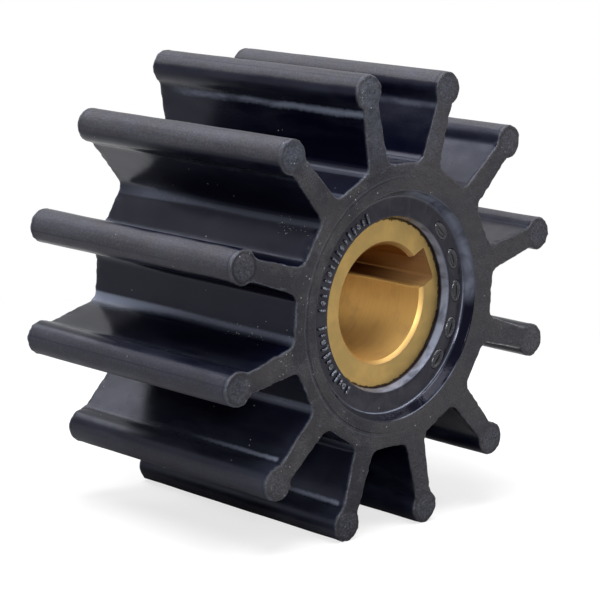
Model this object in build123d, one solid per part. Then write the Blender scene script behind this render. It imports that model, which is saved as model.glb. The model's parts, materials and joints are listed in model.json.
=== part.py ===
from build123d import *
import os
from math import hypot

# Flexible-blade pump impeller: a rubber rotor moulded on a keyed brass bush.
# Millimetres. The bore runs along Y, the front end faces -Y, X is to the right
# and Z is up. The origin is the middle of the bore, and the rotor stands on two blades.

# Blades and overall size
tip_diameter = 65.0
rotor_length = 40.0
blade_count = 12
bead_diameter = 4.7
blade_root_thickness = 3.7
blade_neck_thickness = 2.8
root_fillet = 1.5
neck_fillet = 1.6
end_edge_break = 0.2

# Brass bush
bore_diameter = 16.0
bore_chamfer = 0.5
bush_wall = 4.0

# Keyway for a parallel key, its depth taken from the bore's wall
key_width = 5.0
keyway_depth = 2.3
keyway_angle = 28.0
keyway_corner_fillet = 0.3

# Grooves along the outside of the bush that the rubber grips
grip_groove_count = 8
grip_groove_width = 3.0
grip_groove_depth = 0.8
grip_collar_length = 4.0

# Recess in each end of the rubber, from the brass outwards
bush_edge_lap = 0.4
cone_spread = 0.5
cone_depth = 1.5
recess_floor_width = 2.8
recess_floor_depth = 1.5
rim_wall_spread = 0.9
end_land_width = 3.7
floor_corner_fillet = 0.6
floor_edge_rounding = 0.2
rim_rounding = 0.3

# Worked out from the sizes above
bore_radius = bore_diameter / 2
bush_radius = bore_radius + bush_wall
bush_face_radius = bush_radius - bush_edge_lap
floor_inner_radius = bush_face_radius + cone_spread
floor_outer_radius = floor_inner_radius + recess_floor_width
rim_radius = floor_outer_radius + rim_wall_spread
hub_flat_radius = rim_radius + end_land_width
bead_radius = bead_diameter / 2
bead_circle_radius = tip_diameter / 2 - bead_radius
mid_blade_radius = (hub_flat_radius + bead_circle_radius) / 2
blade_pitch = 360.0 / blade_count
first_blade_angle = -90.0 + blade_pitch / 2
grip_groove_pitch = 360.0 / grip_groove_count
front_y = -rotor_length / 2
floor_y = front_y + recess_floor_depth
bush_face_y = floor_y + cone_depth
half_bush_length = -bush_face_y


def round_corner(section, place, radius):
    """Section with the corner nearest to a place rounded."""
    corner = section.vertices().sort_by_distance(place)[0]
    return fillet(corner, radius)


def blade_profile():
    """One blade pointing along +X: a strip that thins outwards to its round bead."""
    root_half = blade_root_thickness / 2
    neck_half = blade_neck_thickness / 2
    strip = Polygon(
        (rim_radius, -root_half),
        (hub_flat_radius, -root_half),
        (bead_circle_radius, -neck_half),
        (bead_circle_radius, neck_half),
        (hub_flat_radius, root_half),
        (rim_radius, root_half),
        align=None,
    )
    bead = Pos(bead_circle_radius, 0) * Circle(bead_radius)
    blade = strip + bead
    neck_corners = blade.vertices().filter_by_position(Axis.X, mid_blade_radius, bead_circle_radius)
    return fillet(neck_corners, neck_fillet)


def rotor_profile():
    """Hub and blades seen from the front, with a flat valley between each pair of blades."""
    hub = RegularPolygon(
        hub_flat_radius, blade_count, major_radius=False, rotation=first_blade_angle
    )
    blade = blade_profile()
    blade_places = PolarLocations(0, blade_count, start_angle=first_blade_angle)
    profile = hub + [place * blade for place in blade_places]
    valley_corners = profile.vertices().filter_by(
        lambda corner: hypot(corner.X, corner.Y) < mid_blade_radius
    )
    return fillet(valley_corners, root_fillet)


def front_recess():
    """Space in front of the bush: a shallow ring, then a cone down to the brass."""
    section = Polygon(
        (0, front_y),
        (rim_radius, front_y),
        (floor_outer_radius, floor_y),
        (floor_inner_radius, floor_y),
        (bush_face_radius, bush_face_y),
        (0, bush_face_y),
        align=None,
    )
    section = round_corner(section, (floor_outer_radius, floor_y), floor_corner_fillet)
    section = round_corner(section, (floor_inner_radius, floor_y), floor_edge_rounding)
    return revolve(section, Axis.Y)


def bush_blank():
    """Outside of the bush: plain collars at both ends, grip grooves between them."""
    blank = extrude(Plane.XZ * Circle(bush_radius), half_bush_length, both=True)
    groove = Rectangle(2 * grip_groove_depth, grip_groove_width)
    groove_places = PolarLocations(
        bush_radius, grip_groove_count, start_angle=keyway_angle + grip_groove_pitch / 2
    )
    groove_ring = Sketch() + [place * groove for place in groove_places]
    half_groove_length = half_bush_length - grip_collar_length
    return blank - extrude(Plane.XZ * groove_ring, half_groove_length, both=True)


def keyway_profile():
    """Slot along +X from the middle of the bore out to the top of the key."""
    reach = bore_radius + keyway_depth
    slot = Pos(reach / 2, 0) * Rectangle(reach, key_width)
    far_corners = slot.vertices().sort_by(Axis.X)[-2:]
    return fillet(far_corners, keyway_corner_fillet)


def brass_bush():
    """Bush with its bore, a chamfer at each end of the bore and the keyway."""
    bore = extrude(Plane.XZ * Circle(bore_radius), half_bush_length, both=True)
    bush = bush_blank() - bore
    bore_rims = bush.edges().filter_by(GeomType.CIRCLE).group_by(SortBy.RADIUS)[0]
    bush = chamfer(bore_rims, bore_chamfer)
    keyway = Plane.XZ * Rot(Z=keyway_angle) * keyway_profile()
    return bush - extrude(keyway, half_bush_length, both=True)


def rubber_body():
    """Rotor moulding with a recess in each end and the bush's shape left inside."""
    body = extrude(Plane.XZ * rotor_profile(), rotor_length / 2, both=True)
    end_faces = body.faces().sort_by(Axis.Y)
    body = chamfer(end_faces[0].edges() + end_faces[-1].edges(), end_edge_break)
    recess = front_recess()
    body = body - bush_blank() - recess - mirror(recess, about=Plane.XZ)
    end_faces = body.faces().sort_by(Axis.Y)
    rims = (end_faces[0].edges() + end_faces[-1].edges()).filter_by(GeomType.CIRCLE)
    return fillet(rims.group_by(SortBy.RADIUS)[-1], rim_rounding)


os.makedirs("parts", exist_ok=True)
export_step(rubber_body(), "parts/rubber_body.step")
export_step(brass_bush(), "parts/brass_bush.step")
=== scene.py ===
import json
from math import acos, atan2, cos, hypot, pi, radians, sin, sqrt, tan

import bmesh
import bpy
from bpy.props import FloatProperty, FloatVectorProperty, IntProperty, PointerProperty
from mathutils import Matrix, Vector

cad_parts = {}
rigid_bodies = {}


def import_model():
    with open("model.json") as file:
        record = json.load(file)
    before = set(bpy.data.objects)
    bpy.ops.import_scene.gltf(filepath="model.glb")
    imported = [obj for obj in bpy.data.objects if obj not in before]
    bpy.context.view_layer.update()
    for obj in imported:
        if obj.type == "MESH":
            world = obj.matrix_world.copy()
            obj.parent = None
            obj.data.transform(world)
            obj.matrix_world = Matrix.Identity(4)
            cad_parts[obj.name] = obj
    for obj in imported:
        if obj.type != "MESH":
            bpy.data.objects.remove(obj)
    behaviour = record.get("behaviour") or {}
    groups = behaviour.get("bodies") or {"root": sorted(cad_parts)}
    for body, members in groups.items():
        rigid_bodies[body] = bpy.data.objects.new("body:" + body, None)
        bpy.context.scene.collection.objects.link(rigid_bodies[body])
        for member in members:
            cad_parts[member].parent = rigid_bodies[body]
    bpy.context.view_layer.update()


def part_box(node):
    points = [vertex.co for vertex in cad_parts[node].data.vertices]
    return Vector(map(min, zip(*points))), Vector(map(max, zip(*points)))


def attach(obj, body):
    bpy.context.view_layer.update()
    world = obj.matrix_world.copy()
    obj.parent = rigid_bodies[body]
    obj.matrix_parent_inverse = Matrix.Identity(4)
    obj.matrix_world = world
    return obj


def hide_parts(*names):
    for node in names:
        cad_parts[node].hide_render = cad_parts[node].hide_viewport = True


bl_info = {
    "name": "Flexible pump impeller",
    "version": (1, 0, 0),
    "blender": (4, 5, 0),
    "location": "3D View > Sidebar > Impeller",
    "description": "Models and finishes a rubber pump impeller on a keyed brass bush",
    "category": "Object",
}

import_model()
RUBBER_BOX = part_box("rubber_body")
BRASS_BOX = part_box("brass_bush")

# Frame directions: the bore runs along Y and the front end faces -Y
AXIS = (0.0, 1.0, 0.0)
CENTRE = (0.0, 0.0, 0.0)
FRONT_Y = RUBBER_BOX[0].y
BRASS_FRONT_Y = BRASS_BOX[0].y

# Tolerances for picking and merging, in metres
SAME = 1e-6
NEAR = 2e-5

# Blades on the rotor, the turn from one to the next, and the circle of their beads' middles
BLADES = 12
PITCH = 2 * pi / BLADES
BEAD_CIRCLE = 0.03015

# How finely curves are divided, along a blade's outline
FLAT_PARTS = 4
ROOT_PARTS = 7
FLANK_PARTS = 12
NECK_PARTS = 5
BEAD_PARTS = 12
# In the rows of faces across a blade's end and across the hub's end
LADDER_CUTS = 3
HUB_CUTS = 3
SECTOR_STEPS = FLAT_PARTS + (LADDER_CUTS + 1) // 2
# Along the recess, from its lip to the wall that grips the bush
LIP_PARTS = 4
WALL_PARTS = 2
HOLLOW_PARTS = 5
FLOOR_PARTS = 6
CREST_PARTS = 3
CONE_PARTS = 2
GRIP_PARTS = 6
# Round the bush, and along its bore, chamfer, face, edge break and outside
BUSH_STEPS = 192
BUSH_PARTS = (8, 2, 4, 1, 8)
# In the keyway's mouth and in its corners
MOUTH_PARTS = 6
KEY_CORNER_PARTS = 4

# Rows of the rotor's end edges, as (distance inside the outline, distance behind the end)
END_ROWS = (
    (0.0, 0.00034), (0.00003, 0.00017), (0.00010, 0.00006), (0.00022, 0.00001), (0.00045, 0.0))
# Rows further along the rotor, as distances behind the end
BODY_ROWS = (0.0006, 0.0011, 0.002, 0.0036, 0.0056, 0.0078, 0.0101, 0.0125, 0.015, 0.0175, 0.02)


def size(name, description, default):
    """A length that a user would change."""
    return FloatProperty(
        name=name, description=description, default=default, min=0.0, unit="LENGTH", precision=5)


def colour(name, description, default):
    """A colour that a user would change."""
    return FloatVectorProperty(
        name=name, description=description, default=default, subtype="COLOR", min=0.0, max=1.0)


class RotorSizes(bpy.types.PropertyGroup):
    """Sizes of the rubber rotor."""

    blade_count: IntProperty(
        name="Blades", description="Number of blades on the rotor", default=BLADES, min=3)
    valley_radius: size("Valley radius", "From the axis to the flat valley between blades", 0.0195)
    bead_circle: size(
        "Bead circle radius", "From the axis to the middle of a bead", BEAD_CIRCLE)
    bead_radius: size("Bead radius", "Round bead along each blade's tip", 0.00235)
    root_half: size("Half root thickness", "Half of the blade's thickness at the hub", 0.00185)
    neck_half: size("Half neck thickness", "Half of the blade's thickness at its bead", 0.0014)
    root_fillet: size("Root fillet", "Radius between the valley and the blade", 0.0015)
    neck_fillet: size("Neck fillet", "Radius between the blade and its bead", 0.0016)
    rim_radius: size("Rim radius", "Outer edge of the recess in each end", 0.0158)
    rim_rounding: size("Rim rounding", "Rounded lip of the recess", 0.0003)
    floor_outer: size("Floor outer radius", "Outer edge of the recess floor", 0.0149)
    floor_inner: size("Floor inner radius", "Inner edge of the recess floor", 0.0121)
    floor_depth: size("Floor depth", "Depth of the recess floor", 0.0015)
    floor_fillet: size("Floor fillet", "Radius at the foot of the recess wall", 0.0006)
    floor_rounding: size("Floor edge rounding", "Rounded inner edge of the floor", 0.0002)
    lap_radius: size("Lap radius", "Where the rubber meets the face of the bush", 0.0116)
    ripple: size("Ripple", "Unevenness of the moulded faces", 0.00009)
    nibble: size("Nibbled edges", "Unevenness of the trimmed end edges", 0.00034)


class BushSizes(bpy.types.PropertyGroup):
    """Sizes of the brass bush."""

    bore_radius: size("Bore radius", "Radius of the bore", 0.008)
    bore_chamfer: size("Bore chamfer", "Chamfer at each end of the bore", 0.0005)
    outer_radius: size("Outer radius", "Radius of the bush inside the rubber", BRASS_BOX[1].x)
    edge_break: size("Edge break", "Small bevel on the bush's outer edges", 0.00015)
    key_width: size("Keyway width", "Width of the keyway", 0.005)
    key_reach: size("Keyway reach", "From the axis to the top of the keyway", 0.0103)
    key_corner: size("Keyway corner", "Radius in the keyway's corners", 0.0003)
    mouth_rounding: size("Keyway mouth rounding", "Rounded edges of the keyway in the bore", 0.0004)
    key_angle: FloatProperty(
        name="Keyway angle", description="Direction of the keyway from the X axis",
        default=radians(28), subtype="ANGLE")
    groove_width: size("Grip groove width", "Width of the grooves the rubber grips", 0.003)
    groove_depth: size("Grip groove depth", "Depth of the grooves the rubber grips", 0.0008)
    groove_length: size("Grip groove length", "Length of the grooves", 0.026)
    groove_count: IntProperty(
        name="Grip grooves", description="Number of grooves the rubber grips", default=8, min=0)


class FinishColours(bpy.types.PropertyGroup):
    """Colours of the finishes."""

    moulded: colour("Moulded rubber", "Glossy moulded faces", (0.0009, 0.0011, 0.0062))
    bead: colour("Bead rubber", "Satin beads along the tips", (0.0395, 0.0380, 0.0445))
    trimmed: colour("Trimmed rubber", "Matte end faces", (0.0235, 0.0230, 0.0285))
    # Also the colour of painted sheen and painted reflections in the fillets, on the flanks, in the
    # recess and on the marks' tops
    bloom_and_sheen: colour("Bloom and sheen", "Grey-blue film in the fillets", (0.305, 0.345, 0.455))
    rubbed: colour(
        "Rubbed and highlit rubber", "Brownish tone where the satin is rubbed", (0.048, 0.0430, 0.0425))
    # Also lends painted light to the satin tips on the upper right
    dust: colour("Dust", "Pale specks of dust", (0.30, 0.30, 0.31))
    brass: colour("Brass", "Bright turned brass in the bore", (0.715, 0.452, 0.146))
    brass_face: colour("Brass end face", "Dull brass of the end faces", (0.325, 0.228, 0.090))
    brass_dark: colour("Brown brass", "Tarnish in the bore and keyway", (0.36, 0.215, 0.105))
    brass_shade: colour("Brass shade", "Painted shade high in the bore and deep in the keyway", (0.125, 0.044, 0.007))
    floor: colour("Floor", "Studio floor", (0.20, 0.20, 0.20))


class StageSizes(bpy.types.PropertyGroup):
    """Camera and studio."""

    camera_place: FloatVectorProperty(
        name="Camera", description="Where the camera stands", subtype="TRANSLATION",
        unit="LENGTH", default=(-0.21979, -0.21718, 0.05379))
    focal_length: FloatProperty(
        name="Focal length", description="Lens for a 36 mm wide frame",
        default=133.58, unit="CAMERA")
    floor_size: size("Floor size", "Side of the studio floor", 6.0)


# Modelling helpers

def deselect_all():
    """Leaves nothing selected, so the next operator acts on new work only."""
    if bpy.context.mode != "OBJECT":
        bpy.ops.object.mode_set(mode="OBJECT")
    bpy.ops.object.select_all(action="DESELECT")


def start_at_point(place, name=None):
    """One selected point in edit mode: of a new piece if a name is given, or of the open one."""
    if name:
        deselect_all()
    else:
        bpy.ops.mesh.select_mode(type="VERT")
        bpy.ops.mesh.select_all(action="DESELECT")
    bpy.ops.mesh.primitive_plane_add(size=NEAR, location=CENTRE)
    if name:
        bpy.context.object.name = name
        bpy.context.object.data.name = name
        bpy.ops.object.mode_set(mode="EDIT")
        bpy.ops.mesh.select_mode(type="VERT")
        bpy.ops.mesh.select_all(action="SELECT")
    bpy.ops.mesh.merge(type="CENTER")
    bpy.ops.transform.translate(value=place)
    return bpy.context.object


def extrude_by(step):
    """Extrudes the selection and moves the new part by a step."""
    bpy.ops.mesh.extrude_region_move(TRANSFORM_OT_translate={"value": step})


def draw_line(start, end, parts=1):
    """Draws a straight run of equal parts from the selected point."""
    step = (Vector(end) - Vector(start)) / parts
    for _ in range(parts):
        extrude_by(step)


def draw_arc(centre, angle, parts, axis=AXIS):
    """Draws an arc from the selected point, anticlockwise about AXIS seen from the front."""
    bpy.ops.mesh.spin(steps=parts, angle=angle, center=centre, axis=axis, dupli=False)


def turn_round(angle):
    """Turns the selection about the bore's axis, anticlockwise seen from the front."""
    bpy.ops.transform.rotate(value=angle, orient_axis="Y", center_override=CENTRE)


def copy_round(steps, angle):
    """Copies the selection round the bore's axis in equal steps; the last copy stays selected."""
    bpy.ops.mesh.spin(steps=steps, angle=angle, center=CENTRE, axis=AXIS, dupli=True)


def select_edges(test):
    """Selects the edges of the open piece that pass a test, and nothing else."""
    bpy.ops.mesh.select_mode(type="EDGE")
    bpy.ops.mesh.select_all(action="DESELECT")
    mesh = bmesh.from_edit_mesh(bpy.context.object.data)
    chosen = [edge for edge in mesh.edges if test(edge)]
    for edge in chosen:
        edge.select_set(True)
    mesh.select_flush_mode()
    bmesh.update_edit_mesh(bpy.context.object.data)
    if not chosen:
        raise RuntimeError("nothing to select on " + bpy.context.object.name)


def select_everything():
    bpy.ops.mesh.select_mode(type="VERT")
    bpy.ops.mesh.select_all(action="SELECT")


def mirror_copy(scale):
    """Adds a mirrored copy of the whole open piece."""
    select_everything()
    bpy.ops.mesh.duplicate()
    bpy.ops.transform.resize(value=scale, center_override=CENTRE)


def merge_and_face_out():
    """Merges touching points and turns all faces outwards."""
    select_everything()
    bpy.ops.mesh.remove_doubles(threshold=SAME)
    bpy.ops.mesh.normals_make_consistent(inside=False)


def is_wire(edge):
    return not edge.link_faces


def row_edge(y):
    """Test for edges that lie in one plane across the axis."""
    return lambda edge: all(abs(vert.co.y - y) < SAME for vert in edge.verts)


def distance_from_axis(place):
    return hypot(place.x, place.z)


# The rotor

def half_outline(sizes, inset):
    """Corners and arc centres of half a blade's outline, drawn inside the real edge by an inset.

    The blade points along +X, and the outline runs from the middle of the valley above it,
    along the flat, the root fillet, the flank, the neck fillet and the bead to the tip.
    """
    half_pitch = pi / sizes.blade_count
    valley_normal = Vector((cos(half_pitch), sin(half_pitch)))
    valley_along = Vector((sin(half_pitch), -cos(half_pitch)))
    valley = sizes.valley_radius - inset
    run = Vector((sizes.bead_circle - sizes.valley_radius, sizes.neck_half - sizes.root_half))
    flank_along = run.normalized()
    flank_normal = Vector((-flank_along.y, flank_along.x))
    flank = flank_normal.dot(Vector((sizes.valley_radius, sizes.root_half))) - inset
    # Where the valley and the flank would meet
    across = valley_normal.x * flank_normal.y - valley_normal.y * flank_normal.x
    corner = Vector((
        (valley * flank_normal.y - flank * valley_normal.y) / across,
        (flank * valley_normal.x - valley * flank_normal.x) / across))
    turn = acos(valley_along.dot(flank_along))
    root_radius = sizes.root_fillet + inset
    tangent = round_turn(root_radius, turn)
    root_start = corner - valley_along * tangent
    root_centre = root_start + valley_normal * root_radius
    root_end = corner + flank_along * tangent
    # The neck fillet touches the flank and the bead
    neck_radius = sizes.neck_fillet + inset
    bead_radius = sizes.bead_radius - inset
    bead_centre = Vector((sizes.bead_circle, 0))
    reach = neck_radius + bead_radius
    lift = flank + neck_radius - flank_normal.dot(bead_centre)
    neck_turn = acos(lift / reach)
    neck_angle = atan2(flank_normal.y, flank_normal.x) + neck_turn
    neck_centre = bead_centre + reach * Vector((cos(neck_angle), sin(neck_angle)))
    neck_start = neck_centre - flank_normal * neck_radius
    return {
        "start": valley_normal * valley, "root_start": root_start, "root_centre": root_centre,
        "root_turn": turn, "root_end": root_end, "neck_start": neck_start,
        "neck_centre": neck_centre, "neck_turn": neck_turn,
        "bead_centre": bead_centre, "bead_turn": neck_angle,
    }


def at(point, y):
    """A point of a flat outline placed at a depth along the bore."""
    return Vector((point.x, y, point.y))


def draw_half_outline(sizes, inset, y, name=None):
    """Draws half a blade's outline from the middle of the valley to the tip."""
    outline = half_outline(sizes, inset)
    piece = start_at_point(at(outline["start"], y), name)
    draw_line(at(outline["start"], y), at(outline["root_start"], y), FLAT_PARTS)
    draw_arc(at(outline["root_centre"], y), outline["root_turn"], ROOT_PARTS)
    draw_line(at(outline["root_end"], y), at(outline["neck_start"], y), FLANK_PARTS)
    draw_arc(at(outline["neck_centre"], y), outline["neck_turn"], NECK_PARTS)
    draw_arc(at(outline["bead_centre"], y), -outline["bead_turn"], BEAD_PARTS)
    return piece


def bridge_rows(first_y, second_y):
    """Joins two drawn outlines with a strip of faces."""
    first = row_edge(first_y)
    second = row_edge(second_y)
    select_edges(lambda edge: first(edge) or second(edge))
    bpy.ops.mesh.bridge_edge_loops()


def round_turn(radius, turn):
    """How far a rounding of a corner reaches along both of its sides."""
    return radius * tan(turn / 2)


def draw_recess(sizes):
    """Draws the recess from the rim inwards, and the wall that grips the bush, as a half sector."""
    rim = Vector((sizes.rim_radius, FRONT_Y, 0))
    foot = Vector((sizes.floor_outer, FRONT_Y + sizes.floor_depth, 0))
    edge = Vector((sizes.floor_inner, FRONT_Y + sizes.floor_depth, 0))
    lap = Vector((sizes.lap_radius, BRASS_FRONT_Y, 0))
    grip = Vector((BRASS_BOX[1].x, BRASS_FRONT_Y, 0))
    inward = Vector((-1, 0, 0))
    wall = (foot - rim).normalized()
    cone = (lap - edge).normalized()
    wall_turn = wall.angle(inward)
    cone_turn = cone.angle(inward)
    lip = round_turn(sizes.rim_rounding, wall_turn)
    hollow = round_turn(sizes.floor_fillet, wall_turn)
    crest = round_turn(sizes.floor_rounding, cone_turn)
    turn_axis = (0, 0, -1)
    start = rim - inward * lip
    start_at_point(start)
    draw_arc(start + Vector((0, sizes.rim_rounding, 0)), -wall_turn, LIP_PARTS, turn_axis)
    wall_end = foot - wall * hollow
    draw_line(rim + wall * lip, wall_end, WALL_PARTS)
    wall_out = Vector((wall.y, -wall.x, 0))
    draw_arc(wall_end - wall_out * sizes.floor_fillet, wall_turn, HOLLOW_PARTS, turn_axis)
    floor_end = edge - inward * crest
    draw_line(foot + inward * hollow, floor_end, FLOOR_PARTS)
    draw_arc(
        floor_end + Vector((0, sizes.floor_rounding, 0)), -cone_turn, CREST_PARTS, turn_axis)
    draw_line(edge + cone * crest, lap, CONE_PARTS)
    draw_line(lap, grip)
    draw_line(grip, Vector((grip.x, 0, 0)), GRIP_PARTS)


def model_rotor(sizes):
    """Half of one blade and its share of the hub, mirrored and repeated into the whole rotor."""
    rows = [(inset, FRONT_Y + depth) for inset, depth in END_ROWS]
    piece = draw_half_outline(sizes, *rows[0], name="rubber_rotor")
    for previous, row in zip(rows, rows[1:]):
        draw_half_outline(sizes, *row)
        bridge_rows(previous[1], row[1])
    # The long faces run back to the middle of the rotor
    y = rows[0][1]
    for depth in BODY_ROWS:
        select_edges(row_edge(y))
        bpy.ops.mesh.extrude_edges_move(
            TRANSFORM_OT_translate={"value": (0, FRONT_Y + depth - y, 0)})
        y = FRONT_Y + depth
    # The recess, turned through half a pitch from the blade's middle to the valley's middle
    draw_recess(sizes)
    select_edges(is_wire)
    draw_arc(CENTRE, pi / sizes.blade_count, SECTOR_STEPS)
    mirror_copy((1, 1, -1))
    # The blade's end is filled between its two edges, and the hub's end out from the rim
    ladder_x = half_outline(sizes, END_ROWS[-1][0])["root_start"].x
    flat_row = row_edge(FRONT_Y)
    select_edges(lambda edge: flat_row(edge) and len(edge.link_faces) == 1 and min(
        vert.co.x for vert in edge.verts) > ladder_x - SAME)
    bpy.ops.mesh.bridge_edge_loops(number_cuts=LADDER_CUTS, interpolation="LINEAR")
    merge_and_face_out()
    select_edges(lambda edge: flat_row(edge) and len(edge.link_faces) == 1 and max(
        vert.co.x for vert in edge.verts) < ladder_x + SAME)
    bpy.ops.mesh.bridge_edge_loops(number_cuts=HUB_CUTS, interpolation="LINEAR")
    mirror_copy((1, -1, 1))
    select_everything()
    bpy.ops.mesh.remove_doubles(threshold=SAME)
    pitch = 2 * pi / sizes.blade_count
    copy_round(sizes.blade_count - 1, 2 * pi - pitch)
    select_everything()
    turn_round(pitch / 2)
    merge_and_face_out()
    bpy.ops.object.mode_set(mode="OBJECT")
    return piece


def put_in_slots(piece, chooser, materials):
    """Gives the piece its materials, each face the one that the chooser names."""
    piece.data.materials.clear()
    names = list(materials)
    for name in names:
        piece.data.materials.append(materials[name])
    for face in piece.data.polygons:
        face.material_index = names.index(chooser(face))


def finish_piece(piece, angle):
    """Smooth shading that keeps corners sharper than the angle."""
    deselect_all()
    piece.select_set(True)
    bpy.context.view_layer.objects.active = piece
    bpy.ops.object.shade_smooth_by_angle(angle=angle)
    deselect_all()


def apply_modifier(piece, kind, **settings):
    """Adds a modifier with its settings and applies it."""
    bpy.ops.object.modifier_add(type=kind)
    modifier = piece.modifiers[-1]
    for key, value in settings.items():
        setattr(modifier, key, value)
    bpy.ops.object.modifier_apply(modifier=modifier.name)


# How far outside the recess's rim the uneven edges and the uneven outside begin
NIBBLE_MARGIN = 0.001
RIPPLE_MARGIN = 0.0012

# Textures of the unevenness, as (size of their clouds, levels of detail)
RIPPLE_CLOUDS = (0.006, 1)
NIBBLE_CLOUDS = (0.0007, 2)

# How far behind an end its faces reach, and how squarely they face along the axis
END_REACH = 0.0002
WORN_LEAN = (0.25, 0.96)
FLAT_LEAN = 0.99


def make_uneven(piece, name, weight_of, clouds, strength):
    """Moves a surface in and out along a soft random texture, as far as its places weigh."""
    group = piece.vertex_groups.new(name=name)
    for vertex in piece.data.vertices:
        weight = weight_of(vertex.co)
        if weight > 0:
            group.add([vertex.index], weight, "REPLACE")
    texture = bpy.data.textures.new(name, "CLOUDS")
    texture.noise_scale, texture.noise_depth = clouds
    apply_modifier(
        piece, "DISPLACE", texture=texture, strength=strength, vertex_group=name, mid_level=0.5)
    piece.vertex_groups.clear()


def moulded_weight(sizes):
    """1 on the moulded outside, nothing on the recess and on what grips the bush."""
    inner = sizes.rim_radius + RIPPLE_MARGIN
    return lambda place: 1.0 if distance_from_axis(place) > inner else 0.0


def end_weight(sizes):
    """1 on the trimmed end edges, falling to nothing a little way along the rotor."""
    full, gone = END_ROWS[0][1], BODY_ROWS[1]
    inner = sizes.rim_radius + NIBBLE_MARGIN

    def weight_of(place):
        behind = abs(FRONT_Y) - abs(place.y)
        if distance_from_axis(place) < inner:
            return 0.0
        return min(1.0, max(0.0, (gone - behind) / (gone - full)))
    return weight_of


def rotor_finish(sizes):
    """Chooser of the finish for each face of the rotor."""
    rim = sizes.rim_radius + sizes.rim_rounding
    end = abs(FRONT_Y) - END_REACH

    def chooser(face):
        away = distance_from_axis(face.center)
        lean = abs(face.normal.y)
        if away < sizes.floor_outer or (away < rim and lean < FLAT_LEAN):
            return "recess"
        if abs(face.center.y) <= end:
            return "moulded"
        if WORN_LEAN[0] < lean < WORN_LEAN[1]:
            return "worn"
        return "trimmed" if lean >= WORN_LEAN[1] else "moulded"
    return chooser


class MakeRotor(bpy.types.Operator):
    """Models the rubber rotor with its blades and recesses"""

    bl_idname = "impeller.make_rotor"
    bl_label = "Make Rubber Rotor"

    def execute(self, context):
        sizes = context.scene.rotor_sizes
        piece = model_rotor(sizes)
        make_uneven(piece, "ripple", moulded_weight(sizes), RIPPLE_CLOUDS, sizes.ripple)
        make_uneven(piece, "nibble", end_weight(sizes), NIBBLE_CLOUDS, sizes.nibble)
        finish_piece(piece, radians(40))
        colours = context.scene.finish_colours
        put_in_slots(piece, rotor_finish(sizes), {
            "moulded": moulded_rubber(colours), "trimmed": trimmed_rubber(colours),
            "worn": worn_rubber(colours), "recess": recess_rubber(colours)})
        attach(piece, "root")
        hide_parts("rubber_body")
        return {"FINISHED"}


# The bush

# How far the cutter of the keyway stands out past the brass, where it begins inside the bore,
# its half width there as a share of the keyway's, and how far its mouth stays off the bore
CUTTER_PAST = 0.001
CUTTER_INSIDE = 0.0055
CUTTER_SHARE = 0.8
MOUTH_CLEARANCE = 0.00001


def turned(x, z, angle, y):
    """A point of a profile turned about the bore's axis and placed at a depth."""
    return Vector((x * cos(angle) - z * sin(angle), y, x * sin(angle) + z * cos(angle)))


def model_bush(sizes):
    """A turned ring, cut by the keyway and by the grooves that the rubber grips."""
    front = BRASS_FRONT_Y
    bore, outer = sizes.bore_radius, sizes.outer_radius
    chamfer, edge = sizes.bore_chamfer, sizes.edge_break
    corners = [Vector((radius, y, 0)) for radius, y in (
        (bore, 0), (bore, front + chamfer), (bore + chamfer, front), (outer - edge, front),
        (outer, front + edge), (outer, 0))]
    piece = start_at_point(corners[0], "brass_bush_body")
    for begin, end, parts in zip(corners, corners[1:], BUSH_PARTS):
        draw_line(begin, end, parts)
    mirror_copy((1, -1, 1))
    merge_and_face_out()
    bpy.ops.mesh.spin(steps=BUSH_STEPS, angle=2 * pi, center=CENTRE, axis=AXIS)
    merge_and_face_out()
    bpy.ops.object.mode_set(mode="OBJECT")
    cutter = model_cutter(sizes)
    deselect_all()
    bpy.context.view_layer.objects.active = piece
    piece.select_set(True)
    apply_modifier(piece, "BOOLEAN", object=cutter, operation="DIFFERENCE", solver="EXACT")
    bpy.data.objects.remove(cutter)
    return piece


def model_cutter(sizes):
    """The keyway's space with its flared mouth, and the spaces of the grip grooves."""
    half = sizes.key_width / 2
    mouth, reach, corner = sizes.mouth_rounding, sizes.key_reach, sizes.key_corner
    y = BRASS_FRONT_Y - CUTTER_PAST
    mouth_z = half + mouth
    mouth_x = sqrt((sizes.bore_radius + mouth - MOUTH_CLEARANCE) ** 2 - mouth_z ** 2)
    to_axis = atan2(-mouth_z, -mouth_x)
    sweep = -pi / 2 - to_axis
    mouth_start = (mouth_x + mouth * cos(to_axis), mouth_z + mouth * sin(to_axis))
    # Each half is drawn on its own side of the keyway's middle plane
    for side, name in ((1, "keyway_cutter"), (-1, None)):
        def point(x, z):
            return turned(x, side * z, sizes.key_angle, y)
        cutter = start_at_point(point(CUTTER_INSIDE, 0), name)
        inner_corner = point(CUTTER_INSIDE, half * CUTTER_SHARE)
        draw_line(point(CUTTER_INSIDE, 0), inner_corner)
        draw_line(inner_corner, point(*mouth_start))
        draw_arc(point(mouth_x, mouth_z), side * sweep, MOUTH_PARTS)
        draw_line(point(mouth_x, half), point(reach - corner, half))
        draw_arc(point(reach - corner, half - corner), -side * pi / 2, KEY_CORNER_PARTS)
        draw_line(point(reach, half - corner), point(reach, 0))
    select_everything()
    bpy.ops.mesh.remove_doubles(threshold=SAME)
    bpy.ops.mesh.edge_face_add()
    extrude_by((0, -2 * y, 0))
    if sizes.groove_count:
        add_groove_cutters(sizes)
    select_everything()
    bpy.ops.mesh.normals_make_consistent(inside=False)
    bpy.ops.object.mode_set(mode="OBJECT")
    return cutter


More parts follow.
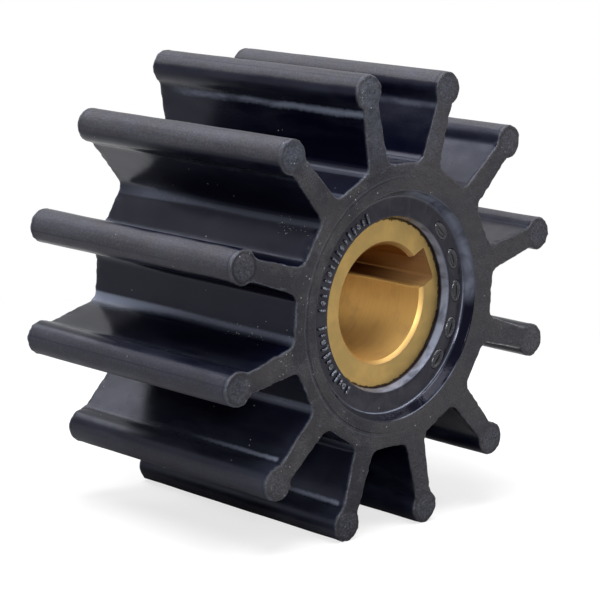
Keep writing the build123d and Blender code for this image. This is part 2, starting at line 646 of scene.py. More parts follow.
def add_groove_cutters(sizes):
    """The space of one grip groove, modelled in the open piece and repeated round the bush."""
    pitch = 2 * pi / sizes.groove_count
    low, high = sizes.outer_radius - sizes.groove_depth, sizes.outer_radius + sizes.groove_depth
    side = sizes.groove_width / 2
    ring = [turned(x, z, sizes.key_angle + pitch / 2, -sizes.groove_length / 2) for x, z in (
        (low, -side), (high, -side), (high, side), (low, side))]
    start_at_point(ring[0])
    for begin, end in zip(ring, ring[1:]):
        draw_line(begin, end)
    select_edges(is_wire)
    bpy.ops.mesh.edge_face_add()
    extrude_by((0, sizes.groove_length, 0))
    bpy.ops.mesh.select_linked()
    copy_round(sizes.groove_count - 1, 2 * pi - pitch)


class MakeBush(bpy.types.Operator):
    """Models the keyed brass bush"""

    bl_idname = "impeller.make_bush"
    bl_label = "Make Brass Bush"

    def execute(self, context):
        piece = model_bush(context.scene.bush_sizes)
        finish_piece(piece, radians(30))
        put_in_slots(piece, lambda face: "brass", {
            "brass": bare_brass(context.scene.finish_colours)})
        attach(piece, "root")
        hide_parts("brass_bush")
        return {"FINISHED"}


# Raised marks in the front recess

# Places of the marks round the recess, in degrees
RING_MARKS = (44.7, 23.4, 3.0, -19.3, -39.9)
GROUP_START = 114.0
GROUP_TURN = 17.0
MARK_PITCH = 4.2
# Runs of groups, as (copies after the first, jump to the next run)
GROUP_RUNS = ((3, 23.0), (2, 0.0))
# Lengths of the bars in a group, with 0 for a pip
GROUP_MARKS = (0.0015, 0.0009, 0.0, 0.0012)
BAR_WIDTH = 0.0006
BAR_HEIGHT = 0.00034
BAR_ROUNDING = 0.00012
BAR_ROUNDING_PARTS = 3

# Half sizes of an oval's disc across and along its height, and the steps that raise a ring or
# a pip from it, as (rise, distance inwards)
RING_SIZE = (0.00098, 0.0016)
RING_RISE = (
    (0.00009, 0.00005), (0.00008, 0.00008), (0.00004, 0.00010), (-0.00001, 0.00010),
    (-0.00006, 0.00009), (-0.00008, 0.00008), (-0.00004, 0.00010), (0.00005, 0.00014))
PIP_SIZE = (0.00052, 0.00040)
PIP_RISE = ((0.00010, 0.00004), (0.00007, 0.00006), (0.00003, 0.00008), (0.00001, 0.00010))
OVAL_PARTS = 36
# How far the rings lie outside the middle of the recess's floor, and the groups inside it
MARK_OFFSET = 0.0001


class MakeMarks(bpy.types.Operator):
    """Models the plain raised marks on the floor of the front recess"""

    bl_idname = "impeller.make_marks"
    bl_label = "Make Recess Marks"

    def execute(self, context):
        piece = model_marks(context.scene.rotor_sizes)
        finish_piece(piece, radians(50))
        put_in_slots(piece, lambda face: "marks", {
            "marks": rubbed_and_highlit_rubber(context.scene.finish_colours)})
        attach(piece, "root")
        return {"FINISHED"}


def model_marks(sizes):
    """Large oval rings on the right, and groups of small bars and pips on the left."""
    floor_y = FRONT_Y + sizes.floor_depth
    middle = (sizes.floor_inner + sizes.floor_outer - sizes.floor_fillet / 2) / 2
    deselect_all()
    # One large ring, copied
    piece = raise_oval((middle + MARK_OFFSET, floor_y, 0), RING_SIZE, RING_RISE, "recess_marks")
    turn_round(radians(RING_MARKS[0]))
    for angle, following in zip(RING_MARKS, RING_MARKS[1:]):
        copy_round(1, radians(following - angle))
    bpy.ops.mesh.select_all(action="SELECT")
    bpy.ops.mesh.hide()
    # One group of bars and pips, copied in two runs
    place = (middle - MARK_OFFSET, floor_y, 0)
    for step, length in enumerate(GROUP_MARKS):
        if length:
            bpy.ops.mesh.primitive_cube_add(
                size=1, location=place, scale=(length, BAR_WIDTH, BAR_HEIGHT))
            bpy.ops.mesh.bevel(offset=BAR_ROUNDING, segments=BAR_ROUNDING_PARTS, affect="EDGES")
            bpy.ops.mesh.select_linked()
        else:
            raise_oval(place, PIP_SIZE, PIP_RISE)
        turn_round(radians(GROUP_START + step * MARK_PITCH))
    bpy.ops.mesh.select_all(action="SELECT")
    for count, jump in GROUP_RUNS:
        copy_round(count, radians(GROUP_TURN * count))
        if jump:
            copy_round(1, radians(jump))
    bpy.ops.mesh.reveal()
    select_everything()
    bpy.ops.mesh.normals_make_consistent(inside=False)
    bpy.ops.object.mode_set(mode="OBJECT")
    return piece


def raise_oval(place, half_sizes, steps, name=None):
    """A low rounded ring or dome, of a new piece if a name is given, or of the open one."""
    half_width, half_height = half_sizes
    bpy.ops.mesh.primitive_circle_add(
        vertices=OVAL_PARTS, radius=half_width, fill_type="NGON", location=place,
        rotation=(pi / 2, 0, 0))
    if name:
        bpy.context.object.name = name
        bpy.ops.object.transform_apply()
        bpy.ops.object.mode_set(mode="EDIT")
        bpy.ops.mesh.select_all(action="SELECT")
    bpy.ops.transform.resize(value=(1, 1, half_height / half_width), center_override=place)
    for rise, inset in steps:
        bpy.ops.mesh.inset(thickness=inset, depth=rise)
    bpy.ops.mesh.select_linked()
    return bpy.context.object


# Materials

class Nodes:
    """Adds nodes to one tree."""

    def __init__(self, tree):
        self.tree = tree

    def add(self, kind, inputs=None, outputs=0, **settings):
        """Adds a node and gives back one of its outputs, or as many as a tuple names."""
        node = self.tree.nodes.new(kind)
        for key, value in settings.items():
            setattr(node, key, value)
        for key, value in (inputs or {}).items():
            if isinstance(value, Signal):
                self.tree.links.new(value.socket, node.inputs[key])
            else:
                node.inputs[key].default_value = value
        if isinstance(outputs, tuple):
            return tuple(Signal(self, node.outputs[key]) for key in outputs)
        return Signal(self, node.outputs[outputs])

    def math(self, operation, *values):
        return self.add("ShaderNodeMath", dict(enumerate(values)), operation=operation)

    def place(self):
        """The shaded point's place on the piece."""
        return self.add("ShaderNodeTexCoord", outputs="Object")

    def point(self, x, y, z=0.0):
        return self.add("ShaderNodeCombineXYZ", {0: x, 1: y, 2: z})


class Signal:
    """What an output of a node carries. Working with it adds further nodes to the tree."""

    def __init__(self, nodes, socket):
        self.nodes = nodes
        self.socket = socket

    def math(self, operation, *others):
        return self.nodes.math(operation, self, *others)

    def __abs__(self):
        return self.math("ABSOLUTE")

    def __add__(self, other):
        return self.math("ADD", other)

    def __sub__(self, other):
        return self.math("SUBTRACT", other)

    def __rsub__(self, other):
        return self.nodes.math("SUBTRACT", other, self)

    def __mul__(self, other):
        return self.math("MULTIPLY", other)

    def __truediv__(self, other):
        return self.math("DIVIDE", other)

    def vector(self, operation, *others):
        """A number worked out from this vector and others."""
        return self.nodes.add("ShaderNodeVectorMath", dict(enumerate((self, *others))), "Value",
                              operation=operation)

    def parts(self):
        """This vector's distances along X, Y and Z."""
        return self.nodes.add("ShaderNodeSeparateXYZ", {0: self}, (0, 1, 2))

    def drawn_out(self, *scale):
        """This place with a scale for each axis, which draws patterns out where it is small."""
        return self.nodes.add("ShaderNodeMapping", {"Vector": self, "Scale": scale})

    def noise(self, scale, detail=3.0, roughness=0.5, distortion=0.0):
        return self.nodes.add("ShaderNodeTexNoise", {
            "Vector": self, "Scale": scale, "Detail": detail, "Roughness": roughness,
            "Distortion": distortion}, "Fac")

    def ranged(self, low, high, to_low=0.0, to_high=1.0):
        """Maps the value smoothly from one range to another and holds it there."""
        return self.nodes.add("ShaderNodeMapRange", {
            "Value": self, "From Min": low, "From Max": high, "To Min": to_low,
            "To Max": to_high}, interpolation_type="SMOOTHSTEP")

    def band(self, middle, half):
        """1 in the middle of a band, falling smoothly to nothing at its sides."""
        return abs(self - middle).ranged(0.0, half, 1.0, 0.0)

    def mix(self, first, second):
        """Two colours mixed, with this value as the share of the second."""
        return self.nodes.add("ShaderNodeMix", {0: self, 6: opaque(first), 7: opaque(second)}, 2,
                              data_type="RGBA")


def opaque(colour):
    """A plain colour with full alpha, or the colour of a node as it is."""
    return colour if isinstance(colour, Signal) else (*colour[:3], 1.0)


def most(first, *others):
    """The largest of some values."""
    for value in others:
        first = first.math("MAXIMUM", value)
    return first


def coated(colour, *coats):
    """A colour with coats over it, each given as (mask, colour)."""
    for mask, coat in coats:
        colour = mask.mix(colour, coat)
    return colour


def effect_group(name, inputs, outputs, build):
    """A shader node group with named inputs and outputs, made once."""
    if name in bpy.data.node_groups:
        return bpy.data.node_groups[name]
    group = bpy.data.node_groups.new(name, "ShaderNodeTree")
    for label, default in inputs.items():
        socket = group.interface.new_socket(label, in_out="INPUT", socket_type="NodeSocketFloat")
        socket.default_value = default
    for label in outputs:
        group.interface.new_socket(label, in_out="OUTPUT", socket_type="NodeSocketFloat")
    nodes = Nodes(group)
    given = nodes.add("NodeGroupInput", outputs=tuple(inputs))
    nodes.add("NodeGroupOutput", dict(zip(outputs, build(nodes.place(), *given))), ())
    return group


def build_grain(place, scale):
    """Sandy grain: fine bumps over softer ones."""
    fine = place.noise(scale, 4.0, 0.65)
    coarse = place.noise(scale * 0.22, 2.0)
    return fine + coarse * 0.8, fine.ranged(0.42, 0.62)


def build_specks(place, scale, amount):
    """Scattered specks of dust that gather in drifts, most of them on the left."""
    distance, draws = place.nodes.add("ShaderNodeTexVoronoi", {
        "Vector": place, "Scale": scale, "Randomness": 1.0}, ("Distance", "Color"))
    first_draw, second_draw = place.nodes.add("ShaderNodeSeparateColor", {0: draws}, (0, 1))
    drift = place.noise(130.0, 2.0).ranged(0.45, 0.72) + 0.12
    chance = amount * place.parts()[0].ranged(0.012, -0.014, 0.12, 1.0) * drift
    chosen = first_draw.math("LESS_THAN", chance)
    radius = second_draw * 0.15 + 0.06
    return (chosen * (distance / radius).ranged(0.7, 1.1, 1.0, 0.0),)


def grain(nodes, scale):
    """Height and shade of a sandy grain."""
    names = ("Height", "Shade")
    group = effect_group("Sandy grain", {"Scale": 3600.0}, names, build_grain)
    return nodes.add("ShaderNodeGroup", {"Scale": scale}, names, node_tree=group)


def specks(nodes, scale, amount):
    """Mask of specks of dust."""
    group = effect_group("Dust specks", {"Scale": 900.0, "Amount": 0.2}, ("Mask",), build_specks)
    return nodes.add("ShaderNodeGroup", {"Scale": scale, "Amount": amount}, node_tree=group)


def new_material(name):
    """A material, its empty node tree, and the shaded point's place on the piece."""
    material = bpy.data.materials.new(name)
    material.use_nodes = True
    material.node_tree.nodes.clear()
    nodes = Nodes(material.node_tree)
    return material, nodes, nodes.place()


def finish_material(nodes, inputs, height, depth):
    """Ends a material with its shader and its bumps."""
    normal = nodes.add("ShaderNodeBump", {"Height": height, "Distance": depth, "Strength": 1.0})
    shader = nodes.add("ShaderNodeBsdfPrincipled", dict(inputs, Normal=normal))
    nodes.add("ShaderNodeOutputMaterial", {"Surface": shader}, ())


def radius_of(x, z):
    """Distance of the shaded point from the bore's axis."""
    return x.nodes.point(x, 0.0, z).vector("LENGTH")


def facing(place, radius, angle, low, high, to_low=0.0):
    """1 on the side of the axis at an angle in degrees, falling away from it."""
    turn = radians(angle)
    toward = place.vector("DOT_PRODUCT", (cos(turn), 0.0, sin(turn)))
    return (toward / radius).ranged(low, high, to_low)


def blade_place(x, z, radius):
    """The shaded point's place along and across its blade, its turn from the blade's middle, and
    its turn from the X axis counted in blades."""
    turns = z.math("ARCTAN2", x) / PITCH
    angle = (turns.math("FRACT") - 0.5) * PITCH
    return radius * angle.math("COSINE"), radius * angle.math("SINE"), angle, turns


# Tints of the gloss
RUBBER_TINT = (0.66, 0.70, 1.0, 1.0)
RECESS_TINT = (0.80, 0.81, 1.0, 1.0)
BRASS_TINT = (1.0, 0.62, 0.28, 1.0)

# Bands on the blades, as (middle, half width): the mould's joint across a bead, the bands of film
# and painted sheen along a blade, and the crease behind an end
JOINT_LINE = (0.00107, 0.00011)
NECK_BAND = (0.02745, 0.0008)
FRONT_LINE = (0.02755, 0.00055)
END_CREASE = (0.01935, 0.00016)

# How far along a blade the satin of its tip begins
SATIN_EDGE = (0.03105, 0.03155)

# Where dirt has drifted together in the valleys, and how a drift is drawn out along the blades
DRIFT_SHAPE = (1.0, 0.42, 1.4)
DRIFTS = ((-0.0160, -0.0160, 0.0115), (-0.0197, -0.0108, -0.0030), (-0.0019, -0.0185, 0.0195))


def moulded_rubber(colours):
    """Glossy moulded faces with satin along the tips, painted lighter on the upper right and darker
    on the lower blades, and a film with painted sheen in the fillets and on the flanks.
    """
    material, nodes, place = new_material("Moulded rubber")
    x, depth, z = place.parts()
    radius = radius_of(x, z)
    along, across, angle, turns = blade_place(x, z, radius)
    slow = place.drawn_out(1.0, 0.3, 1.0)
    wander = slow.noise(300.0, 4.0, 0.6) - 0.5
    ragged = place.noise(1300.0, 3.0, 0.7) - 0.5
    to_right = x.ranged(-0.004, 0.004)
    upper_right = x.ranged(0.002, 0.007) * z.ranged(0.002, 0.008)
    # Satin where the tip rubs; on the upper right it reaches further down the beads as painted
    # light
    reach = upper_right * x.ranged(0.0235, 0.0275, 1.0, 2.0)
    satin = (along + wander * 0.0006 + reach * 0.00108).ranged(*SATIN_EDGE)
    # The faint line of the mould's joint changes sides from one bead to the next
    joint_side = (turns.math("FLOOR") * 0.5).math("FRACT") * 4.0 - 1.0
    joint = satin * (across * joint_side).band(*JOINT_LINE) * wander.ranged(-0.12, 0.08, 0.1, 0.8)
    # Grey-blue film and painted sheen in the root fillets that face up, stronger low down and to
    # the back
    facing_up = (across * x).math("GREATER_THAN", 0.0)
    from_valley = radius * (PITCH / 2 - abs(angle)).math("SINE")
    edge = from_valley + (slow.noise(150.0, 1.0) - 0.5) * 0.0010 + ragged * 0.00015
    narrowed = edge + depth.ranged(0.017, 0.002, 0.0, 0.0006)
    low_film_and_sheen = facing_up * z.ranged(0.0055, 0.0, 0.12, 1.0)
    high_film_and_sheen = z.ranged(0.007, 0.012, 0.0, 0.46) * depth.ranged(0.0195, 0.0125, 0.30, 1.0)
    root_film_and_sheen = (edge.ranged(0.0019, 0.0024) * narrowed.ranged(0.0042, 0.0029)
                 * depth.ranged(-0.004, 0.017, 0.22, 0.78) * most(low_film_and_sheen, high_film_and_sheen))
    # Painted sheen in film colour under the beads, strongest on the upper blades, and a painted
    # highlight line low at the front
    neck_sheen = ((along + wander * 0.0010 + ragged * 0.00042).band(*NECK_BAND)
                 * depth.ranged(0.0185, 0.0140) * z.ranged(0.017, 0.025, 0.04, 0.62)
                 * to_right.ranged(0.0, 1.0, 1.0, 0.22)
                 * slow.noise(420.0, 3.0, 0.6).ranged(0.36, 0.60, 0.35, 1.0))
    front_highlight_line = (facing_up * (along + ragged * 0.0004).band(*FRONT_LINE)
                  * z.ranged(-0.008, -0.016, 0.0, 0.42) * depth.ranged(0.002, -0.017)
                  * depth.ranged(-0.0192, -0.0186))
    # Painted sheen in film colour: mottled on the flanks away from the roots, and on the upward
    # flanks of the lower blades, strongest towards the front
    haze = wander.ranged(-0.15, 0.2) * along.ranged(0.0205, 0.0275, 0.0, 0.03)
    low_flank_sheen = (facing_up * z.ranged(-0.006, -0.017, 0.0, 0.018)
               * depth.ranged(0.012, -0.016, 0.3, 1.0))
    film_and_sheen = most(root_film_and_sheen, neck_sheen, front_highlight_line, haze + low_flank_sheen)
    # Pale worn line and dark crease beside the end edges
    from_middle = abs(depth)
    worn = (from_middle.ranged(0.01952, 0.01975) * ragged.ranged(-0.15, 0.15, 0.15, 0.6)
            * to_right.ranged(0.0, 1.0, 1.0, 0.35) * 0.18)
    crease = from_middle.band(*END_CREASE) * wander.ranged(-0.1, 0.1, 0.2, 0.8)
    # Dirt lies in short drifts along the blades
    spread = place.drawn_out(*DRIFT_SHAPE)
    debris = most(*(
        (spread.vector("DISTANCE", Vector(drift) * Vector(DRIFT_SHAPE)) + ragged * 0.0012).ranged(
            0.0022, 0.0004) for drift in DRIFTS))
    dirt = most(specks(nodes, 1800.0, satin * 0.03 + 0.045 + debris * 3.0),
                specks(nodes, 2300.0, debris * 5.0))
    # Rubbed satin, streaked along the bead, and painted lighter on the upper right
    height, shade = grain(nodes, 3200.0)
    drag = place.drawn_out(1.0, 0.05, 1.0).noise(900.0)
    streak = place.drawn_out(1.0, 0.03, 1.0).noise(1900.0, 2.0)
    smudge = place.noise(260.0, 3.0, 0.55, 0.3)
    tip = coated(
        colours.bead,
        (smudge.ranged(0.35, 0.7, 0.0, 0.8), colours.rubbed),
        (streak.ranged(0.42, 0.66, 0.0, 0.36) + shade.ranged(0.0, 1.0, 0.40, 0.0),
         colours.trimmed),
        (place.noise(4300.0, 2.0).ranged(0.50, 0.68, 0.0, 0.07), colours.bloom_and_sheen),
        # Painted light: the dust colour lifts the tips on the upper right
        (upper_right * 0.055, colours.dust))
    # Painted shade: the satin tips are darker on the lower blades
    satin_shaded_low = satin * z.ranged(0.014, -0.016, 1.0, 0.40)
    base = coated(
        colours.moulded, (satin_shaded_low, tip), (most(joint, crease), colours.moulded),
        (film_and_sheen, colours.bloom_and_sheen), (worn, colours.bloom_and_sheen), (dirt, colours.dust))
    rough = (along.ranged(0.0270, 0.0290, 0.20, 0.30) + smudge.ranged(0.3, 0.7, -0.03, 0.05)
             + satin * 0.22 + film_and_sheen * 0.3 + upper_right * 0.09)
    finish_material(nodes, {
        "Base Color": base, "Roughness": rough, "Specular IOR Level": 0.20,
        "Specular Tint": RUBBER_TINT},
        drag * 0.22 + height * satin.ranged(0.0, 1.0, 0.04, 0.90), 0.00004)
    return material


# Traces of the mould on the end faces, as (middle, half width)
BEAD_GROOVE = (0.0022, 0.0003)
HUB_GROOVE = (0.0174, 0.00014)
HUB_RIDGE = (0.0178, 0.00014)


def trimmed_rubber(colours):
    """Matte sandy end faces with dust in them."""
    material, nodes, place = new_material("Trimmed rubber")
    x, _, z = place.parts()
    radius = radius_of(x, z)
    along, across = blade_place(x, z, radius)[:2]
    height, shade = grain(nodes, 3000.0)
    pale = [min(1.0, value * 3.4) for value in colours.trimmed]
    sandy = (place.noise(1150.0, 3.0, 0.6).ranged(0.38, 0.62, 0.45, 1.15) * shade
             * place.noise(160.0, 4.0, 0.6).ranged(0.35, 0.7, 0.35, 0.80))
    # Traces of the mould round the bead's end and round the hub, clearest on the left
    from_bead = nodes.point(along - BEAD_CIRCLE, across).vector("LENGTH")
    wobble = from_bead + place.noise(900.0, 3.0, 0.6) * 0.0005
    left = x.ranged(0.004, -0.008)
    groove = most(wobble.band(*BEAD_GROOVE) * facing(place, radius, 165, 0.95, 0.985, 0.14),
                  radius.band(*HUB_GROOVE) * left)
    ridge = most(along.ranged(0.029, 0.0305) * wobble.ranged(0.00236, 0.00246),
                 radius.band(*HUB_RIDGE) * left)
    patchy = place.noise(700.0).ranged(0.35, 0.6, 0.35, 0.9)
    # Dust on the left, and powder on the ends of the upper blades
    dusty = left * place.noise(240.0, 3.0, 0.6).ranged(0.46, 0.66)
    powder = (z.ranged(0.0180, 0.0235) * x.ranged(0.010, 0.002)
              * place.noise(900.0, 4.0, 0.7).ranged(0.35, 0.65, 0.03, 0.15))
    granular = (from_bead.ranged(0.0020, 0.0014)
                * place.noise(2600.0, 3.0, 0.7).ranged(0.42, 0.60, 0.0, 0.10))
    base = coated(
        colours.trimmed, (sandy, pale), (left * 0.52, colours.moulded),
        (dusty * place.noise(5200.0, 2.0).ranged(0.4, 0.65, 0.03, 0.17), colours.dust),
        (specks(nodes, 3000.0, dusty * 1.6 + 0.25) * 0.8, colours.dust),
        (place.noise(110.0).ranged(0.40, 0.60, 0.0, 0.42), colours.rubbed),
        (powder, colours.bloom_and_sheen), (granular, colours.bloom_and_sheen),
        (groove * patchy, colours.moulded), (ridge * patchy * 0.14, colours.bloom_and_sheen),
        (specks(nodes, 1900.0, 0.75), colours.dust))
    finish_material(nodes, {
        "Base Color": base, "Roughness": shade.ranged(0.0, 1.0, 0.60, 0.80),
        "Specular IOR Level": 0.25}, height - groove * 0.5, 0.00022)
    return material


def worn_rubber(colours):
    """The rounded end edges, rubbed pale in places."""
    material, nodes, place = new_material("Worn rubber")
    height, shade = grain(nodes, 3000.0)
    to_right = place.parts()[0].ranged(-0.004, 0.004)
    patchy = (place.noise(520.0, 4.0, 0.65).ranged(0.40, 0.62)
              * to_right.ranged(0.0, 1.0, 1.0, 0.3))
    rubbed = patchy * shade.ranged(0.0, 1.0, 0.06, 0.22)
    finish_material(nodes, {
        "Base Color": rubbed.mix(colours.trimmed, colours.bloom_and_sheen),
        "Roughness": patchy.ranged(0.0, 1.0, 0.42, 0.6),
        "Specular IOR Level": 0.3}, height, 0.00012)
    return material


# Painted reflections in the recess that follow rings about the axis, as (middle, half width)
RIM_BAND = (0.01538, 0.0007)
RIM_LINE = (0.01585, 0.00012)
FOOT_LINE = (0.0149, 0.00012)


def recess_rubber(colours):
    """Glossy, slightly wavy recess, with painted reflections in film colour on its walls."""
    material, nodes, place = new_material("Recess rubber")
    x, _, z = place.parts()
    radius = radius_of(x, z)
    height = grain(nodes, 2600.0)[0]
    wave = place.noise(420.0, 2.0, 0.5, 0.6)
    gap = radius.ranged(0.01179, 0.01166)
    # Painted reflections in film colour on the rim, on the cone down to the brass and along the
    # foot of the wall
    rim_reflection = radius.band(*RIM_BAND) * facing(place, radius, 42, 0.66, 0.80) * 0.7
    rim_highlight_line = radius.band(*RIM_LINE) * facing(place, radius, -62, 0.86, 0.96)
    cone_reflection = (radius.ranged(0.01215, 0.01200) * facing(place, radius, -20, -0.6, 0.4)
                 * gap.ranged(0.0, 1.0, 1.1, 0.0))
    foot = radius.band(*FOOT_LINE) * facing(place, radius, -50, 0.2, 0.7)
    film_and_sheen = most(rim_reflection, cone_reflection, foot, rim_highlight_line) * wave.ranged(0.3, 0.6, 0.28, 0.62)
    satin = radius.ranged(0.0149, 0.0146) * wave.ranged(0.35, 0.7, 0.15, 0.55)
    base = coated(colours.moulded, (satin, colours.bead), (film_and_sheen, colours.bloom_and_sheen),
                  (specks(nodes, 1700.0, 0.14), colours.dust))
    # Less gloss in the gap beside the brass and on the lower right of the wall
    dark_wall = radius.ranged(0.01500, 0.01520) * facing(place, radius, -38, 0.74, 0.84)
    gloss = (most(radius.ranged(0.0145, 0.0149, 0.24, 0.38),
                  radius.ranged(0.0121, 0.0120, 0.24, 0.34))
             * most(gap, dark_wall).ranged(0.0, 1.0, 1.0, 0.22))
    finish_material(nodes, {
        "Base Color": base, "Roughness": wave.ranged(0.3, 0.7, 0.12, 0.20),
        "Specular IOR Level": gloss, "Specular Tint": RECESS_TINT},
        wave + height * 0.10, 0.00008)
    return material


# Height of the marks' tops, where they are rubbed and painted with highlights, as a distance behind
# the front end
MARK_TOPS = (0.00142, 0.00126)


def rubbed_and_highlit_rubber(colours):
    """The raised marks, rubbed pale on their tops and painted with highlight there, most on the
    left.
    """
    material, nodes, place = new_material("Rubbed and highlit rubber")
    x, depth, _ = place.parts()
    height, shade = grain(nodes, 3600.0)
    # Paler tops: partly wear, partly painted highlight, strongest on the left
    worn = (depth.ranged(*(FRONT_Y + behind for behind in MARK_TOPS))
            * shade.ranged(0.25, 0.95, 0.04, 0.65) * x.ranged(0.002, -0.004, 0.15, 1.0))
    finish_material(nodes, {
        "Base Color": worn.mix(colours.moulded, colours.bloom_and_sheen),
        "Roughness": shade.ranged(0.0, 1.0, 0.14, 0.28),
        "Specular IOR Level": 0.55}, height, 0.00003)
    return material


def bare_brass(colours):
    """Turned brass: dull satin end faces, fine rings in the bright bore, brown keyway."""
    material, nodes, place = new_material("Bare brass")
    x, depth, z = place.parts()
    radius = radius_of(x, z)
    height = grain(nodes, 4200.0)[0]
    blotch = place.noise(320.0, 4.0, 0.6)
    from_middle = abs(depth)
    face = from_middle.ranged(0.0169, 0.01698) * radius.ranged(0.00846, 0.00854)
    not_face = 1.0 - face
    chamfer = not_face * from_middle.ranged(0.01645, 0.01655)
    in_key = radius.ranged(0.0082, 0.0086) * not_face
    in_bore = not_face - most(in_key, chamfer)
    # Turning rings in the bore and the broach's marks in the keyway
    rings = nodes.point(radius * 0.4, depth).noise(4200.0, 4.0, 0.7)
    broach = place.drawn_out(1.0, 0.04, 1.0).noise(2400.0, 4.0, 0.6)
    # Tarnish in blotches and rings, and darker low in the bore; painted shade high in the bore and
    # deeper into the keyway
    bright = coated(
        colours.brass,
        (blotch.ranged(0.45, 0.75, 0.0, 0.3) + rings.ranged(0.35, 0.65, 0.0, 0.14),
         colours.brass_dark),
        (z.ranged(-0.0035, -0.0070, 0.0, 0.14), colours.brass_dark),
        (z.ranged(0.002, 0.006, 0.0, 0.97), colours.brass_shade))
    dull = blotch.ranged(0.35, 0.7, 0.0, 0.22).mix(colours.brass_face, colours.brass)
    lap = (radius + place.noise(1500.0, 3.0, 0.6) * 0.0009).ranged(0.01180, 0.01194, 0.0, 0.85)
    base = coated(
        bright, (face + chamfer * 0.45, dull),
        (in_key * broach.ranged(0.3, 0.7, 0.55, 0.95), colours.brass_dark),
        # Painted shade deeper into the keyway
        (in_key * depth.ranged(-0.013, 0.0, 0.0, 0.8), colours.brass_shade),
        (lap, colours.moulded))
    haze = in_key * depth.ranged(-0.006, -0.016, 0.0, 0.6)
    rough = (most(face, chamfer, in_key).ranged(0.0, 1.0, 0.30, 0.46)
             + rings.ranged(0.3, 0.7, -0.03, 0.05) + in_bore * 0.22)
    bumps = (height * face.ranged(0.0, 1.0, 0.06, 0.35)
             + rings * 2.2 * (1.0 - most(in_key, face)) + broach * in_key)
    # The turning marks spread light along the bore
    along_bore = nodes.add("ShaderNodeTangent", direction_type="RADIAL", axis="Y")
    finish_material(nodes, {
        "Base Color": base, "Metallic": in_bore.ranged(0.0, 1.0, 1.0, 0.76) - haze,
        "Roughness": rough, "Anisotropic": in_bore * 0.66, "Anisotropic Rotation": 0.25,
        "Tangent": along_bore, "Specular Tint": BRASS_TINT}, bumps, 0.00002)
    return material


# The studio

class SetStage(bpy.types.Operator):
    """Sets the camera, the lamps, the floor and the backdrop"""

    bl_idname = "impeller.set_stage"
    bl_label = "Set Stage"

    def execute(self, context):
        stage = context.scene.stage_sizes
        place_camera(stage)
        lay_floor(stage, context.scene.finish_colours)
        for lamp in LAMPS:
            hang_lamp(*lamp)
        light_world()
        context.scene.view_settings.view_transform = "Standard"
        return {"FINISHED"}


# Directions of the photograph's frame
CAMERA_RIGHT = Vector((0.7056, -0.7072, 0.0448))
CAMERA_UP = Vector((0.0953, 0.1573, 0.9829))

# Lamps, as (name, place, size, power)
LAMPS = (
    ("Key softbox", (-0.16, -0.05, 0.70), (0.50, 0.50), 8.6),
    ("Front softbox", (-0.40, -0.46, 0.22), (0.16, 0.12), 2.0),
    ("Back softbox", (-0.13, 0.48, 0.49), (0.35, 0.30), 1.4),
    ("Right softbox", (0.30, -0.35, 0.55), (0.35, 0.25), 1.2),
)

WHITE = (1.0, 1.0, 1.0, 1.0)
PAPER_WHITE = (0.95, 0.95, 0.95)
AMBIENT_STRENGTH = 0.20


def place_camera(stage):
    """A camera that sees the part as the photograph does."""
    bpy.ops.object.camera_add(location=stage.camera_place)
    camera = bpy.context.object
    camera.name = "Camera"
    right = CAMERA_RIGHT.normalized()
    up = (CAMERA_UP - right * CAMERA_UP.dot(right)).normalized()
    back = right.cross(up)
    camera.rotation_euler = Matrix((right, up, back)).transposed().to_euler()
    camera.data.sensor_width = 36.0
    camera.data.lens = stage.focal_length
    camera.data.clip_start = 0.01
    camera.data.clip_end = 50.0
    bpy.context.scene.camera = camera


def seen_by(nodes):
    """1 for what the camera sees, and 1 for what gloss sees."""
    camera, glossy, passed = nodes.add("ShaderNodeLightPath", outputs=(
        "Is Camera Ray", "Is Glossy Ray", "Is Transmission Ray"))
    return camera, most(glossy, passed)


def lay_floor(stage, colours):
    """A wide pale floor under the blades that the part stands on."""
    deselect_all()
    bpy.ops.mesh.primitive_grid_add(
        x_subdivisions=4, y_subdivisions=4, size=stage.floor_size,
        location=(0, 0, RUBBER_BOX[0].z))
    floor = bpy.context.object
    floor.name = "Floor"
    bpy.ops.object.transform_apply(location=True)
    material, nodes, place = new_material("Studio floor")
    away = place.vector("LENGTH")
    camera, gloss = seen_by(nodes)
    # Right under the part, gloss sees the floor in its shadow
    direct = most(camera, gloss * away.ranged(0.034, 0.064))
    shade = [value * 0.985 for value in colours.floor]
    mottled = place.noise(30.0).mix(colours.floor, shade)
    paper = nodes.add("ShaderNodeBsdfDiffuse", {"Color": direct.mix(mottled, PAPER_WHITE)})
    glow = nodes.add("ShaderNodeEmission", {"Color": WHITE, "Strength": 1.0})
    mixed = nodes.add("ShaderNodeMixShader", {
        0: direct * away.ranged(0.05, 0.16, 0.70, 1.0), 1: paper, 2: glow})
    nodes.add("ShaderNodeOutputMaterial", {"Surface": mixed}, ())
    floor.data.materials.append(material)


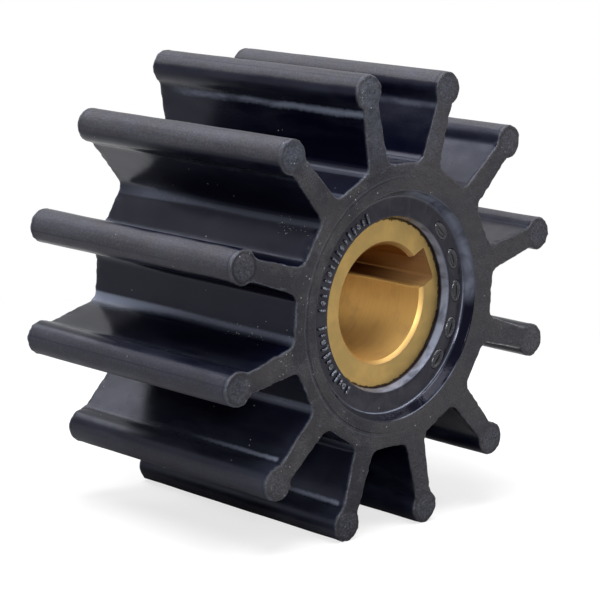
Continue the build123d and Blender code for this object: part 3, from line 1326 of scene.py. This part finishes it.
def hang_lamp(name, place, size, power):
    """One soft lamp turned towards the part."""
    bpy.ops.object.light_add(type="AREA", location=place)
    lamp = bpy.context.object
    lamp.name = name
    lamp.data.shape = "RECTANGLE"
    lamp.data.size, lamp.data.size_y = size
    lamp.data.energy = power
    towards = Vector(CENTRE) - Vector(place)
    lamp.rotation_euler = towards.to_track_quat("-Z", "Y").to_euler()


def light_world():
    """Soft light all round, with a white background for what the eye and gloss see."""
    world = bpy.data.worlds.new("Studio")
    bpy.context.scene.world = world
    world.use_nodes = True
    world.node_tree.nodes.clear()
    nodes = Nodes(world.node_tree)
    ambient, background = (
        nodes.add("ShaderNodeBackground", {"Color": WHITE, "Strength": strength})
        for strength in (AMBIENT_STRENGTH, 1.0))
    mixed = nodes.add("ShaderNodeMixShader", {
        0: most(*seen_by(nodes)), 1: ambient, 2: background})
    nodes.add("ShaderNodeOutputWorld", {"Surface": mixed}, ())


# The add-on

class ImpellerPanel(bpy.types.Panel):
    """Sizes, colours and steps of the impeller"""

    bl_idname = "VIEW3D_PT_impeller"
    bl_label = "Impeller"
    bl_space_type = "VIEW_3D"
    bl_region_type = "UI"
    bl_category = "Impeller"

    def draw(self, context):
        layout = self.layout
        for name in SETTINGS:
            group = getattr(context.scene, name)
            box = layout.box()
            for key in group.__annotations__:
                box.prop(group, key)
        for made in OPERATORS:
            layout.operator(made.bl_idname)


SETTINGS = {
    "rotor_sizes": RotorSizes,
    "bush_sizes": BushSizes,
    "finish_colours": FinishColours,
    "stage_sizes": StageSizes,
}
OPERATORS = (SetStage, MakeRotor, MakeMarks, MakeBush)


def register():
    for made in (*SETTINGS.values(), *OPERATORS, ImpellerPanel):
        bpy.utils.register_class(made)
    for name, made in SETTINGS.items():
        setattr(bpy.types.Scene, name, PointerProperty(type=made))


def unregister():
    for name in SETTINGS:
        delattr(bpy.types.Scene, name)
    for made in reversed((*SETTINGS.values(), *OPERATORS, ImpellerPanel)):
        bpy.utils.unregister_class(made)


def main():
    register()
    bpy.ops.impeller.set_stage()
    bpy.ops.impeller.make_rotor()
    bpy.ops.impeller.make_marks()
    bpy.ops.impeller.make_bush()


if __name__ == "__main__":
    main()
